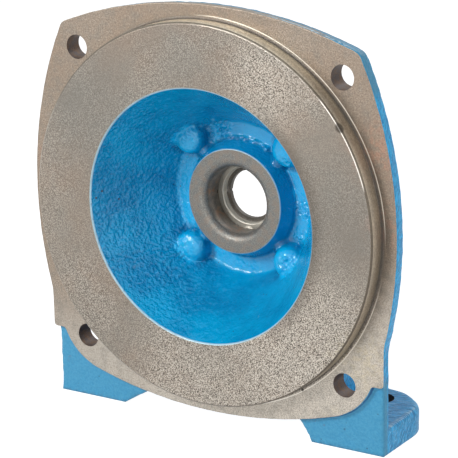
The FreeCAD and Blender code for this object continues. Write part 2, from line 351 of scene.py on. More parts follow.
@dataclass(frozen=True)
class BluePaint:
    """Blue enamel brushed over the as-cast skin."""

    body: Colour = srgb(2, 152, 202)
    # Deep blue, used for random clouding and for painted shade.
    deep: Colour = srgb(0, 128, 178)
    # Lighter blue of the painted light on the floor ring and the boss tops.
    lit_ledge: Colour = srgb(2, 174, 228)
    # Light blue of the painted highlights on the orange peel's crests.
    peel_highlight: Colour = srgb(66, 174, 226)
    # Dark blue of painted shade in creases and recesses.
    shade_blue: Colour = srgb(0, 74, 124)
    outside: Colour = srgb(74, 150, 186)
    outside_deep: Colour = srgb(50, 132, 176)
    side: Colour = srgb(60, 184, 242)
    side_deep: Colour = srgb(38, 136, 196)
    crest: Colour = srgb(44, 104, 148)
    scuff: Colour = srgb(176, 204, 220)
    bare: Colour = srgb(150, 140, 128)
    speck: Colour = srgb(46, 62, 80)
    rust: Colour = srgb(120, 84, 78)
    worn: Colour = srgb(176, 206, 216)
    gloss_roughness: float = 0.18
    wet_roughness: float = 0.11
    dull_roughness: float = 0.42
    refraction: float = 1.5
    specular: float = 0.36
    coat: float = 0.32
    coat_roughness: float = 0.06
    peel_size: float = 1.45
    peel_depth: float = 0.8
    stroke_depth: float = 0.6
    lump_size: float = 4.0
    lump_depth: float = 0.35
    boss_place: float = BOSS_CIRCLE_RADIUS * DIAGONAL
    bottom_arc: Tuple[float, float] = (125.4, 222.0)
    corner_arc: Tuple[float, float, float] = (56.64, -58.06, 30.0)
    corner_start: float = 65.5
    pits: Tuple[Mark, ...] = (
        Mark((-56.7, -3.7, 4.0), 0.55, 0.25), Mark((-58.4, -6.3, 1.1), 0.5, 0.25),
        Mark((-52.5, 3.7, -1.1), 0.5, 0.25), Mark((69.3, 2.4, -92.9), 0.5, 0.4, 0.6))
    # Painted shade: spots in the crease between the upper right boss and the floor ring.
    corners: Tuple[Mark, ...] = (
        Mark((23.6, 29.0, 18.0), 1.9, 1.6, 0.85), Mark((27.2, 27.6, 17.6), 2.1, 1.6, 0.85))

    def build(self) -> bpy.types.Material:
        """Builds the paint.

        Returns:
            The material.
        """
        graph = SurfaceGraph("blue_paint")
        x, y, z, radius = graph.x, graph.y, graph.z, graph.radius()
        inside = radius.fade(MOUTH_RADIUS + 0.2, MOUTH_RADIUS + 0.6)
        inside = inside * y.fade(FLOOR_DEPTH + 0.4, FLOOR_DEPTH + 0.9)
        streak = graph.grain(4.0, 4.0, 0.6)
        peel = graph.grain(self.peel_size, 1.0, 0.5, 0.1)
        along, across = y * 0.6 + z * 0.8 + x * 0.2, z * 0.6 - y * 0.8 + x * 0.35
        strokes = graph.grain(0.95, 3.0, 0.6, 0.8, graph.vector(along * 0.3, across, x * 0.1))
        away = graph.length(abs(x) - self.boss_place, abs(z) - self.boss_place)
        within = self._cup_colour(graph, radius, away, peel)
        colour = graph.mix(inside, self._outer_colour(graph, strokes), within)
        # Painted shade round the bosses, at the hub's foot, at the listed spots and under the flange's lower
        # edge.
        painted_shade = self._shade_mask(graph, away, inside, streak).at_least(marked(graph, self.corners))
        colour = self._wear(graph, colour.over((painted_shade, self.shade_blue)), inside, strokes)
        mouth_edge = radius.window(MOUTH_RADIUS - 0.55, MOUTH_RADIUS - 0.25)
        mouth_edge = mouth_edge * y.window(SPIGOT_FRONT + 1.4, SPIGOT_FRONT + 0.8)
        hub_edge = radius.fade(HUB_RADIUS + 0.15, HUB_RADIUS + 0.4)
        hub_edge = hub_edge * y.window(HUB_DEPTH + 0.6, HUB_DEPTH + 0.3)
        colour = colour.over(((mouth_edge * 0.8).at_least(hub_edge * 0.4), self.worn))
        gloss = graph.blend(radius.window(36.0, 42.0), self.wet_roughness, self.gloss_roughness)
        roughness = graph.blend(inside, self.dull_roughness, gloss + streak.window(0.35, 0.7) * 0.08)
        waves = strokes * (1.0 - inside) * y.window(4.0, 8.0, 0.2, 1.0)
        skin = peel * graph.blend(inside, 0.15, x.window(-6.0, -36.0, 0.35, 1.0))
        lumpy = graph.grain(self.lump_size, 3.0, 0.5)
        normal = graph.relief((lumpy, self.lump_depth), (waves, self.stroke_depth), (skin, self.peel_depth))
        return graph.surface(colour, roughness, normal, 0.0, {
            "IOR": self.refraction, "Specular IOR Level": self.specular,
            "Coat Roughness": self.coat_roughness,
            "Coat Weight": inside * radius.window(44.0, 38.0) * self.coat})

    def _cup_colour(self, graph: SurfaceGraph, radius: Wire, away: Wire, peel: Wire) -> Wire:
        """Colour inside the cup: painted shade at the top and at the hub's foot, painted light on the floor
        ring and the bosses, and painted shade and highlights on the orange peel.

        Args:
            graph: Graph that takes the nodes.
            radius: Distance from the shaft axis.
            away: Distance from the nearest boss's middle line.
            peel: Noise of the paint's brushed skin.

        Returns:
            The colour.
        """
        x, y, z = graph.x, graph.y, graph.z
        cloud = graph.grain(22.0, 3.0, 0.55)
        # Painted shade: the upper part of the cup, which faces down, leans to the deep blue.
        upper = z.window(10.0, 45.0) * 0.4
        # Painted light on the front-facing floor ring, stronger on the left.
        ground = y.window(28.8, 30.0) * x.window(2.0, -26.0, 0.35, 1.0)
        # Painted shade on the hub's foot.
        stem_shade = radius.window(29.0, 28.4, 0.0, 0.7) * y.window(29.6, 28.8)
        left = x.window(10.0, -36.0, 0.3, 1.0) * radius.window(37.0, 40.0)
        area = left * cloud.window(0.40, 0.60, 0.45, 1.0)
        # Painted light on the boss tops, weaker on the upper right boss.
        boss_light = away.window(8.6, 6.0, 0.0, 0.7) * y.window(29.0, 26.0) * y.window(19.6, 21.2)
        return graph.mix(cloud.window(0.35, 0.68).at_least(upper), self.body, self.deep).over(
            (ground * 0.9, self.lit_ledge), (stem_shade, self.deep),
            # Painted shade in the orange peel's pits and painted highlights on its crests, on the left wall.
            (peel.fade(0.34, 0.46) * area * 0.28, self.shade_blue),
            (peel.window(0.58, 0.68) * area * 0.36, self.peel_highlight),
            (boss_light * (x + z).window(36.0, 50.0, 1.0, 0.3), self.lit_ledge))

    def _outer_colour(self, graph: SurfaceGraph, strokes: Wire) -> Wire:
        """Colour outside the cup, brushed on the lugs and the flange's sides.

        Args:
            graph: Graph that takes the nodes.
            strokes: Noise of the slanting brush strokes.

        Returns:
            The colour.
        """
        beside = abs(graph.x).window(85.0, 87.5) * graph.z.window(-67.0, -65.0)
        brushed = graph.mix(strokes.window(0.40, 0.58), self.side_deep, self.side)
        fine = graph.grain(1.1, 3.0, 0.6).window(0.38, 0.66)
        mottle = graph.grain(2.4, 4.0, 0.7).window(0.42, 0.62)
        return graph.mix(fine * 0.55, self.outside, self.outside_deep).over(
            (beside.at_least(graph.y.window(5.0, 7.0)), brushed), (mottle * 0.25, self.outside_deep))

    def _shade_mask(self, graph: SurfaceGraph, away: Wire, inside: Wire, streak: Wire) -> Wire:
        """Mask of painted shade round the bosses, at the hub's foot and under the flange's lower edge.

        Args:
            graph: Graph that takes the nodes.
            away: Distance from the nearest boss's middle line.
            inside: Mask of the inside of the cup.
            streak: Noise that breaks the painted shade up.

        Returns:
            The mask.
        """
        x, y, z = graph.x, graph.y, graph.z
        # Painted shade round the bosses and at the hub's foot, standing in for occlusion.
        ring = away.band(9.6, 0.6, 2.0) * y.window(21.5, 24.0) * 0.42
        foot = graph.radius().band(28.4, 0.3, 1.6) * y.window(28.0, 29.5) * 0.5
        painted_shade = ring.at_least(foot) * inside * streak.window(0.34, 0.52)
        centre, reach = self.bottom_arc
        low = graph.length(x, z - centre) - reach
        middle, level, bend = self.corner_arc
        corner = graph.length(abs(x) - middle, z - level) - bend
        below = graph.blend(abs(x).window(self.corner_start - 1.0, self.corner_start + 1.0), low, corner)
        # Painted shadow of the flange's lower edge on the legs below it.
        line = (below + streak * 0.8).fade(0.8, 1.4) * y.band(2.1, 0.9, 0.4)
        return painted_shade.at_least(line * z.window(-64.0, -67.0) * 0.85)

    def _wear(self, graph: SurfaceGraph, colour: Wire, inside: Wire, strokes: Wire) -> Wire:
        """Adds specks, rust, pits, scuffs and the bare upper rim to the paint's colour.

        Args:
            graph: Graph that takes the nodes.
            colour: Colour of the clean paint.
            inside: Mask of the inside of the cup.
            strokes: Noise of the slanting brush strokes.

        Returns:
            The worn colour.
        """
        x, y, z = graph.x, graph.y, graph.z
        speck = graph.cells(3.4).fade(0.06, 0.13) * graph.grain(9.0, 1.0).window(0.52, 0.62)
        stain = graph.grain(6.0, 5.0, 0.7).window(0.66, 0.74) * (1.0 - inside)
        foot = y.window(6.0, 9.0) * z.window(-88.0, -90.0)
        top_edge = foot * z.band(-90.7, 0.25, 0.4) * abs(x).window(86.0, 87.5)
        upper = z.window(82.0, 86.0) * (1.0 - inside)
        patch = graph.grain(3.0, 4.0, 0.65)
        low_part = (y + patch * 2.0).fade(4.2, 5.2)
        chip = upper * (y + patch * 3.0).band(3.4, 0.6, 0.4) * patch.window(0.44, 0.52)
        return colour.over(
            (speck * 0.75, self.speck), (stain * 0.4, self.rust),
            (strokes.window(0.57, 0.68) * foot * 0.55, self.scuff),
            (top_edge * strokes.window(0.46, 0.54) * 0.7, self.scuff),
            (upper * low_part * (x + patch * 16.0).fade(62.0, 76.0), self.bare),
            (upper * y.window(4.6, 5.6) * 0.7, self.crest),
            (chip * x.window(18.0, 40.0), self.scuff), (marked(graph, self.pits), self.speck))


@dataclass(frozen=True)
class TurnedIron:
    """Bare grey iron as the lathe left it, with pores, tool rings and stains."""

    body: Colour = srgb(132, 124, 114)
    # Light iron colour, used for painted sheen, painted glints and light specks.
    bright: Colour = srgb(206, 198, 186)
    # Near white of the painted glints on the spigot's edges.
    edge_glint: Colour = srgb(246, 240, 230)
    dark: Colour = srgb(76, 70, 64)
    brown: Colour = srgb(134, 118, 104)
    grey: Colour = srgb(116, 114, 108)
    warm: Colour = srgb(152, 128, 106)
    yellow: Colour = srgb(190, 170, 112)
    red: Colour = srgb(186, 130, 108)
    pale: Colour = srgb(160, 198, 212)
    # Dark colour of the nicks, also used for painted shade on the chamfer and in the relief groove.
    groove: Colour = srgb(58, 52, 46)
    # Shaded and lit colours of the spigot's side wall: painted shade and painted light.
    wall: Colour = srgb(174, 160, 140)
    wall_lit: Colour = srgb(234, 222, 198)
    roughness: float = 0.44
    metallic: float = 0.7
    pore_size: float = 0.57
    pore_depth: float = 0.05
    ring_depth: float = 0.008
    # Painted sheen: areas where the turned face is lighter and its glints stronger.
    sheen_areas: Tuple[Mark, ...] = (
        Mark((52.0, -4.0, -62.0), 40.0, 26.0), Mark((40.0, -9.0, 66.0), 18.0, 14.0, 0.8),
        Mark((0.0, -4.0, -92.0), 34.0, 22.0, 0.8))
    dull_areas: Tuple[Mark, ...] = (
        Mark((-58.0, -9.0, 44.0), 26.0, 18.0), Mark((76.0, -9.0, 8.0), 24.0, 16.0, 0.9),
        Mark((-8.0, -9.0, 72.0), 18.0, 14.0, 0.6))
    yellow_areas: Tuple[Mark, ...] = (
        Mark((81.0, 0.0, -57.0), 12.0, 9.0), Mark((66.0, 0.0, -88.0), 5.0, 4.0, 0.7))
    red_areas: Tuple[Mark, ...] = (
        Mark((92.0, 0.0, 40.0), 12.0, 9.0, 0.8), Mark((95.0, 0.0, 8.0), 9.0, 7.0, 0.6),
        Mark((-92.0, 0.0, 20.0), 8.0, 7.0, 0.3))
    nicks: Tuple[Mark, ...] = (
        Mark((74.6, -8.8, 51.0), 2.5, 0.7, 0.8), Mark((48.8, 0.0, -76.8), 0.7, 0.4))

    def build(self) -> bpy.types.Material:
        """Builds the iron.

        Returns:
            The material.
        """
        graph = SurfaceGraph("turned_iron")
        radius = graph.radius()
        fine = graph.grain(self.pore_size, 2.0, 0.75)
        medium = graph.grain(1.9, 2.0, 0.6)
        dull = marked(graph, self.dull_areas)
        colour = self._edges(graph, self._grain(graph, fine, medium, dull), radius)
        rings = (radius * 9.0 + medium * 3.0).maths("SINE") * 0.5 + 0.5
        normal = graph.relief((rings, self.ring_depth), (fine, self.pore_depth))
        roughness = graph.blend(dull, self.roughness, self.roughness + 0.08)
        return graph.surface(colour, roughness, normal, self.metallic)

    def _grain(self, graph: SurfaceGraph, fine: Wire, medium: Wire, dull: Wire) -> Wire:
        """Colour of the iron with its pores, painted glints on its grains, painted sheen and stains.

        Args:
            graph: Graph that takes the nodes.
            fine: Fine noise of the pores.
            medium: Coarser noise that gathers the pores.
            dull: Mask of the dull areas.

        Returns:
            The colour.
        """
        blotch = graph.grain(7.0, 3.0, 0.6).window(0.44, 0.62)
        # bright is the mask of painted sheen; lower adds painted sheen towards the bottom.
        bright = marked(graph, self.sheen_areas)
        gather = graph.grain(34.0, 2.0, 0.5).window(0.36, 0.64)
        lower = graph.z.window(20.0, -50.0, 0.0, 0.16)
        contrast = (bright * 0.95 + gather * 0.34 + lower + 0.16) * (1.0 - dull * 0.35)
        # Painted glints on the grains and darker pores, both stronger where the painted sheen is.
        glitter = fine.window(0.50, 0.60) * contrast * 0.82
        pores = (fine + (medium - 0.5) * 0.2).fade(0.37, 0.47) * contrast
        patch = graph.grain(4.0, 4.0, 0.7).window(0.42, 0.60)
        red = marked(graph, self.red_areas) * patch * fine.window(0.30, 0.6, 0.3, 1.0) * 0.8
        return graph.mix(graph.grain(26.0, 3.0, 0.5).window(0.40, 0.64) * 0.6, self.body, self.brown).over(
            (blotch * 0.22, self.grey), (dull * 0.75, self.grey), (bright * 0.24, self.bright),
            (glitter, self.bright), (pores, self.dark),
            (marked(graph, self.yellow_areas) * patch * 0.4, self.yellow), (red, self.red))

    def _edges(self, graph: SurfaceGraph, colour: Wire, radius: Wire) -> Wire:
        """Adds the mouth's pale edge, the spigot's edges with painted glints and painted shade, its grimy
        side wall with painted light on its upper part, the flange's look with painted sheen and painted
        shade, and the nicks.

        Args:
            graph: Graph that takes the nodes.
            colour: Colour so far.
            radius: Distance from the shaft axis.

        Returns:
            The colour with its edges.
        """
        y, angle = graph.y, graph.turn() * (180.0 / math.pi)
        mouth, spigot, front = MOUTH_RADIUS, SPIGOT_RADIUS, SPIGOT_FRONT
        grime = graph.grain(5.0, 4.0, 0.65)
        speck = graph.grain(0.9, 3.0, 0.7)
        mouth_edge = radius.fade(mouth + 0.15, mouth + 0.4) * y.window(front + 0.3, front + 0.15)
        near = radius.window(mouth, mouth + 8.0, 0.5, 0.0) * graph.x.window(28.0, 50.0)
        flange = radius.window(spigot + 1.0, spigot + 2.0)
        low_part = (graph.z - graph.x * 0.2).window(-20.0, -66.0)
        wall = radius.window(spigot - 0.12, spigot - 0.04) * y.window(front + 0.95, front + 1.15)
        wall = wall * y.window(-0.05, -0.2)
        # Painted light and shade on the spigot's side wall by its angle round the axis, with grime and dark
        # specks.
        side = graph.mix((angle + grime * 30.0).window(50.0, 78.0), self.wall, self.wall_lit).over(
            (speck.window(0.42, 0.58) * 0.3, self.dark))
        chamfer = y.window(front + 1.2, front + 0.9)
        # Painted shade: the chamfer leans to the groove colour, and the rim at the upper left takes the dark
        # colour.
        bevel = radius.window(spigot - 0.72, spigot - 0.62) * chamfer
        rim = radius.band(spigot - 0.66, 0.09, 0.10) * chamfer
        # Painted highlights: a glint on the spigot's front edge where lit, and fainter pale lines at its left
        # and bottom.
        pale = angle.window(146.0, 156.0).at_least(angle.window(-100.0, -120.0)) * 0.5
        lit = ((angle + grime * 3.0).band(31.5, 12.5, 3.0) * 0.9).at_least(angle.band(68.0, 16.0, 8.0) * 0.15)
        foot = y.window(-0.3, -0.2)
        # Painted glint on the relief's outer edge, over the given angles.
        reach = angle.band(46.0, 36.0, 14.0).at_least(angle.band(-55.0, 32.0, 14.0) * 0.7)
        edge_glint = radius.band(spigot + 1.6, 0.2, 0.12) * foot * reach
        shade = radius.fade(spigot + 1.7, spigot + 6.0) * foot * angle.band(8.0, 34.0, 14.0)
        # Painted shade in the relief groove at the spigot's foot.
        groove = y.window(0.06, 0.2) * radius.fade(spigot + 1.8, spigot + 2.0)
        return colour.over(
            (mouth_edge * 0.6, self.pale), (near, self.dark),
            # Painted sheen on the lower flange; its upper part takes a warmer tone.
            (flange * (low_part * 0.42 + 0.04), self.bright), (flange * (1.0 - low_part) * 0.35, self.warm),
            (flange * grime.window(0.46, 0.62) * 0.3, self.grey),
            (flange * speck.window(0.36, 0.46, 0.34, 0.0), self.dark),
            (flange * speck.window(0.54, 0.64) * 0.22, self.bright),
            (wall * grime.window(0.3, 0.65, 1.0, 0.6), side), (bevel, graph.mix(0.75, side, self.groove)),
            (rim * angle.band(118.0, 24.0, 10.0) * 0.7, self.dark), (rim * lit.at_least(pale), self.edge_glint),
            (shade * grime.window(0.3, 0.6, 0.15, 0.4), self.dark), (groove * 0.75, self.groove),
            (edge_glint * 0.95, self.edge_glint), (marked(graph, self.nicks), self.groove))


@dataclass(frozen=True)
class BoredIron:
    """Smooth dark iron of the hub face and its stepped bore, with rust and tool streaks."""

    body: Colour = srgb(120, 119, 114)
    bright: Colour = srgb(168, 164, 156)
    brown: Colour = srgb(126, 113, 101)
    dark: Colour = srgb(70, 65, 59)
    rust: Colour = srgb(134, 98, 70)
    pale: Colour = srgb(150, 186, 202)
    # Light colour of the seat's floor: painted light.
    floor: Colour = srgb(200, 194, 180)
    roughness: float = 0.48
    metallic: float = 0.6
    streak_depth: float = 0.03
    pore_depth: float = 0.012
    bore_shade: float = 0.5
    seat_floor: float = 34.3
    lip_floor: float = 37.3
    rust_areas: Tuple[Mark, ...] = (
        Mark((-15.4, 28.0, 3.0), 3.6, 2.0), Mark((-13.0, 30.0, -9.0), 3.0, 2.0, 0.8),
        Mark((-4.0, 29.0, -15.6), 3.8, 2.4, 0.7))

    def build(self) -> bpy.types.Material:
        """Builds the iron.

        Returns:
            The material.
        """
        graph = SurfaceGraph("bored_iron")
        y, radius = graph.y, graph.radius()
        turns = graph.grain(1.0, 3.0, 0.6, place=graph.vector(radius * 3.0, y * 3.0, graph.turn() * 1.5))
        fine = graph.grain(0.5, 2.0, 0.6)
        patch = graph.grain(3.2, 3.0, 0.6)
        deep = y.window(23.0, 26.5)
        streaks = deep * 0.5 + 0.2
        edge = (radius + patch * 0.6).window(HUB_RADIUS - 0.12, HUB_RADIUS + 0.1)
        edge = edge * y.window(HUB_DEPTH + 0.6, HUB_DEPTH + 0.3)
        shade = deep * self.bore_shade * y.fade(self.seat_floor - 0.4, self.seat_floor - 0.1)
        # Painted shade deep in the bore, beyond the lip's floor.
        last = y.window(self.lip_floor - 0.4, self.lip_floor - 0.1)
        # Painted light on the seat's floor, which faces the front.
        lit_ledge = y.window(self.seat_floor - 0.2, self.seat_floor - 0.05) * (1.0 - last)
        colour = graph.mix(patch.window(0.42, 0.60) * 0.7, self.body, self.brown).over(
            (turns.window(0.50, 0.72) * streaks, self.bright),
            (turns.fade(0.28, 0.46) * streaks, self.dark),
            (fine.window(0.50, 0.66) * 0.35, self.bright),
            ((fine + (patch - 0.5) * 0.5).fade(0.34, 0.5) * 0.4, self.dark),
            (edge * 0.5, self.pale),
            (shade * patch.window(0.35, 0.62, 1.2, 0.4), self.dark),
            (lit_ledge * turns.window(0.3, 0.7, 0.3, 0.8), self.floor), (last * 0.7, self.dark),
            (marked(graph, self.rust_areas) * patch.window(0.42, 0.58) * 0.8, self.rust))
        roughness = turns.window(0.3, 0.7, self.roughness - 0.06, self.roughness + 0.10)
        normal = graph.relief((turns, self.streak_depth), (fine, self.pore_depth))
        return graph.surface(colour, roughness, normal, self.metallic)


@dataclass(frozen=True)
class DrilledIron:
    """Rough brown iron of the drilled holes."""

    body: Colour = srgb(84, 74, 72)
    bright: Colour = srgb(114, 102, 90)
    dark: Colour = srgb(48, 43, 46)
    rust: Colour = srgb(98, 76, 60)
    roughness: float = 0.5
    metallic: float = 0.55
    grain_depth: float = 0.06

    def build(self) -> bpy.types.Material:
        """Builds the iron.

        Returns:
            The material.
        """
        graph = SurfaceGraph("drilled_iron")
        fine = graph.grain(0.7, 3.0, 0.65)
        colour = graph.mix(graph.grain(3.0, 3.0, 0.6).window(0.4, 0.62), self.body, self.rust).over(
            (fine.window(0.52, 0.7) * 0.7, self.bright), (fine.fade(0.3, 0.45) * 0.7, self.dark))
        roughness = fine.window(0.3, 0.7, self.roughness - 0.08, self.roughness + 0.1)
        return graph.surface(colour, roughness, graph.relief((fine, self.grain_depth)), self.metallic)


@dataclass(frozen=True)
class PaleFloor:
    """Plain pale floor that shows white to the camera and keeps a faint shadow."""

    colour: Colour = (0.86, 0.86, 0.86)
    darker: float = 0.985
    glow: float = 1.56
    glow_share: float = 0.6

    def build(self) -> bpy.types.Material:
        """Builds the floor's finish.

        Returns:
            The material.
        """
        graph = SurfaceGraph("pale_floor")
        shaded = tuple(part * self.darker for part in self.colour)
        tone = graph.mix(graph.grain(60.0, 3.0).window(0.3, 0.7), self.colour, shaded)
        diffuse = graph.node("ShaderNodeBsdfDiffuse", sockets={"Color": tone})
        glow = graph.node("ShaderNodeEmission", sockets={"Color": WHITE, "Strength": self.glow})
        sockets = {0: graph.seen() * self.glow_share, 1: diffuse, 2: glow}
        return graph.finish(graph.node("ShaderNodeMixShader", sockets=sockets))


class Finish(Enum):
    """Finishes of the casting, in the order of its material slots."""

    PAINT = 0
    TURNED = 1
    BORED = 2
    DRILLED = 3


def smooth_lower(first: np.ndarray, second: np.ndarray, round_off: float) -> np.ndarray:
    """Lower of two fields, their crease rounded off where they differ by less than round_off."""
    share = np.clip(0.5 + 0.5 * (second - first) / round_off, 0.0, 1.0)
    return second * (1.0 - share) + first * share - round_off * share * (1.0 - share)


def lumps(points: np.ndarray, size: float, layers: int) -> np.ndarray:
    """Smooth noise about zero at many points.

    Args:
        points: Points in millimetres, one row each.
        size: Width of the lumps in millimetres.
        layers: Number of layers, each half as wide and half as high.

    Returns:
        One value a point, mostly between -1 and 1.
    """
    total = np.zeros(len(points))
    for layer in range(layers):
        scale = 2.0 ** layer / size
        shift = Vector((13.1 * layer, 7.7 * layer, 3.3 * layer))
        total += np.array([noise.noise(Vector(p) * scale + shift) for p in points.tolist()]) / 2.0 ** layer
    return total


@dataclass(frozen=True)
class Flaw:
    """Lump or patch of crinkles in the cast skin of the cup floor, in millimetres."""

    x: float
    z: float
    radius: float
    height: float
    crinkle: float = 0.0

    def rise(self, x: np.ndarray, z: np.ndarray, grain: np.ndarray) -> np.ndarray:
        """Height of the flaw above the skin.

        Args:
            x: X of the points.
            z: Z of the points.
            grain: Fine noise at the points.

        Returns:
            The height at each point.
        """
        away = np.hypot(x - self.x, z - self.z) / self.radius
        hill = np.clip(1.0 - away ** 2, 0.0, 1.0)
        return hill * self.height + np.sqrt(hill) * self.crinkle * grain


@dataclass
class CupSkin:
    """Painted inside of the cup as a depth field round the shaft axis, in millimetres."""

    mouth_radius: float = MOUTH_RADIUS
    mouth_depth: float = SPIGOT_FRONT
    floor_radius: float = 36.6
    floor_depth: float = FLOOR_DEPTH
    hub_radius: float = HUB_RADIUS
    hub_depth: float = HUB_DEPTH
    hub_foot_radius: float = 28.7
    hub_round: float = 1.2
    corner_round: float = 2.2
    boss_circle_radius: float = BOSS_CIRCLE_RADIUS
    boss_radius: float = 8.6
    boss_top: float = 21.7
    boss_height: float = 8.8
    boss_corner: float = 3.4
    boss_crown: float = 1.0
    boss_fall: float = 30.0
    boss_round: float = 1.6
    rib_top: float = 26.2
    rib_half_width: float = 5.0
    rib_crown: float = 4.0
    rib_fall: float = 3.0
    segments: int = 530
    wall_rings: int = 50
    floor_rings: int = 26
    hub_rings: int = 16
    floor_lead: float = 1.5
    swell_size: float = 6.0
    swell: float = 0.20
    grain_size: float = 2.0
    floor_grain: float = 0.07
    wall_grain: float = 0.15
    crinkle_size: float = 1.5
    mouth_fade: float = 1.5
    hub_fade: float = 1.0
    wall_fade: float = 4.0
    rough_side: Tuple[float, float] = (-5.0, -35.0)
    bead_radius: float = 29.0
    bead_width: float = 1.1
    bead_height: float = 0.95
    bead_angles: Tuple[float, float] = (56.0, 112.0)
    bead_fades: Tuple[float, float] = (4.0, 8.0)
    flaws: Tuple[Flaw, ...] = (
        Flaw(-13.5, 31.5, 7.5, 0.6, 1.7), Flaw(13.7, 25.7, 1.7, 0.9), Flaw(31.0, -14.5, 5.0, 0.3, 0.8),
        Flaw(-20.0, 26.0, 3.0, 0.5, 0.3), Flaw(-8.0, 33.5, 5.0, 0.2, 0.5), Flaw(30.5, 22.0, 5.5, 0.3, 0.6),
        Flaw(-31.0, -29.5, 6.0, 0.1, 0.9), Flaw(29.0, -27.5, 6.5, 0.1, 1.4), Flaw(33.0, -2.0, 5.5, 0.0, 0.9),
        Flaw(-33.5, 2.0, 4.0, 0.0, 0.35), Flaw(-27.0, 30.0, 6.0, 0.0, 0.7), Flaw(2.0, -33.0, 7.0, 0.0, 0.3))

    def wall_slope(self) -> float:
        """Depth that the wall gains for each millimetre towards the axis."""
        return (self.floor_depth - self.mouth_depth) / (self.mouth_radius - self.floor_radius)

    def radii(self) -> np.ndarray:
        """Radii of the rings from the mouth to the hub's edge, finer near the floor.

        Returns:
            The radii, the largest first.
        """
        bend = self.floor_radius + self.floor_lead
        wall = np.linspace(self.mouth_radius, bend, self.wall_rings, endpoint=False)
        ground = np.linspace(bend, self.hub_foot_radius, self.floor_rings, endpoint=False)
        hub = np.linspace(self.hub_foot_radius, self.hub_radius, self.hub_rings)
        return np.concatenate([wall, ground, hub])

    def depth(self, x: np.ndarray, z: np.ndarray) -> np.ndarray:
        """Depth of the cast skin at points seen along the shaft.

        Args:
            x: X of the points.
            z: Z of the points.

        Returns:
            Y of the skin at each point.
        """
        radius = np.hypot(x, z)
        wall = self.mouth_depth + (self.mouth_radius - radius) * self.wall_slope()
        steep = (self.floor_depth - self.hub_depth) / (self.hub_foot_radius - self.hub_radius)
        hub = self.hub_depth + (radius - self.hub_radius) * steep
        skin = smooth_lower(np.full_like(radius, self.floor_depth), wall, self.corner_round)
        half = self.boss_circle_radius * DIAGONAL
        away = np.hypot(np.abs(x) - half, np.abs(z) - half) / self.boss_radius
        full = np.clip(1.0 - away ** self.boss_corner, 0.0, 1.0) ** (1.0 / self.boss_corner)
        boss = self.boss_top + self.boss_height * (1.0 - full) + away ** 2 * self.boss_crown
        skin = smooth_lower(skin, boss + np.clip(away - 1.0, 0.0, None) * self.boss_fall, self.boss_round)
        aside, along = np.abs(np.abs(x) - np.abs(z)) * DIAGONAL, (np.abs(x) + np.abs(z)) * DIAGONAL
        rib = self.rib_top + (aside / self.rib_half_width) ** 2 * self.rib_crown
        rib = rib + np.clip(along - self.boss_circle_radius, 0.0, None) * self.rib_fall
        return smooth_lower(smooth_lower(skin, rib, self.boss_round), hub, self.hub_round)

    def flaw_height(self, points: np.ndarray) -> np.ndarray:
        """Height of the casting flaws on the floor and of the bead at the foot of the hub.

        Args:
            points: Points in millimetres, one row each.

        Returns:
            The height at each point.
        """
        x, z = points[:, 0], points[:, 2]
        fine = lumps(points, self.crinkle_size, 2)
        total = sum(flaw.rise(x, z, fine) for flaw in self.flaws)
        angle = np.degrees(np.arctan2(z, x))
        (low, high), (start, end) = self.bead_angles, self.bead_fades
        along = np.clip((angle - low) / start, 0.0, 1.0) * np.clip((high - angle) / end, 0.0, 1.0)
        across = np.clip(1.0 - ((np.hypot(x, z) - self.bead_radius) / self.bead_width) ** 2, 0.0, 1.0)
        return total + along * across * self.bead_height * (1.0 + 0.9 * fine)

    def points(self) -> np.ndarray:
        """Points of the skin, raised along its normals by swells, grain and flaws.

        Returns:
            One row of points for each ring, each by rising angle.
        """
        angles = np.linspace(-math.pi, math.pi, self.segments, endpoint=False)
        r, a = np.meshgrid(self.radii(), angles, indexing="ij")
        x, z = r * np.cos(a), r * np.sin(a)
        flat = np.stack([x, self.depth(x, z), z], axis=-1).reshape(-1, 3)
        edge = np.minimum((self.mouth_radius - r) / self.mouth_fade, (r - self.hub_radius) / self.hub_fade)
        start, end = self.rough_side
        free, wall, left = (np.clip(share, 0.0, 1.0).reshape(-1) for share in (
            edge, (r - self.floor_radius) / self.wall_fade, (x - start) / (end - start)))
        grain = self.floor_grain + self.wall_grain * wall * (0.35 + 0.5 * left)
        rise = lumps(flat, self.swell_size, 2) * self.swell + lumps(flat, self.grain_size, 2) * grain
        rise = rise + self.flaw_height(flat)
        lean = wall / math.hypot(1.0, 1.0 / self.wall_slope())
        turn = a.reshape(-1)
        inward = np.stack([-np.cos(turn) * lean, -np.ones(len(flat)), -np.sin(turn) * lean], axis=-1)
        inward /= np.linalg.norm(inward, axis=1)[:, None]
        return (flat + inward * (rise * free)[:, None]).reshape(len(r), -1, 3)

    def build(self, mesh: bmesh.types.BMesh, material: int) -> Tuple[Ring, Ring]:
        """Adds the skin to a mesh.

        Args:
            mesh: The mesh that takes the skin, in metres.
            material: Index of the skin's material slot.

        Returns:
            The vertices of the outermost and the innermost ring, each by rising angle.
        """
        rows = [[mesh.verts.new(point * MM) for point in ring] for ring in self.points()]
        for outer, inner in zip(rows, rows[1:]):
            for i in range(self.segments):
                j = (i + 1) % self.segments
                face = mesh.faces.new((outer[j], inner[j], inner[i], outer[i]))
                face.material_index = material
                face.smooth = True
        return rows[0], rows[-1]


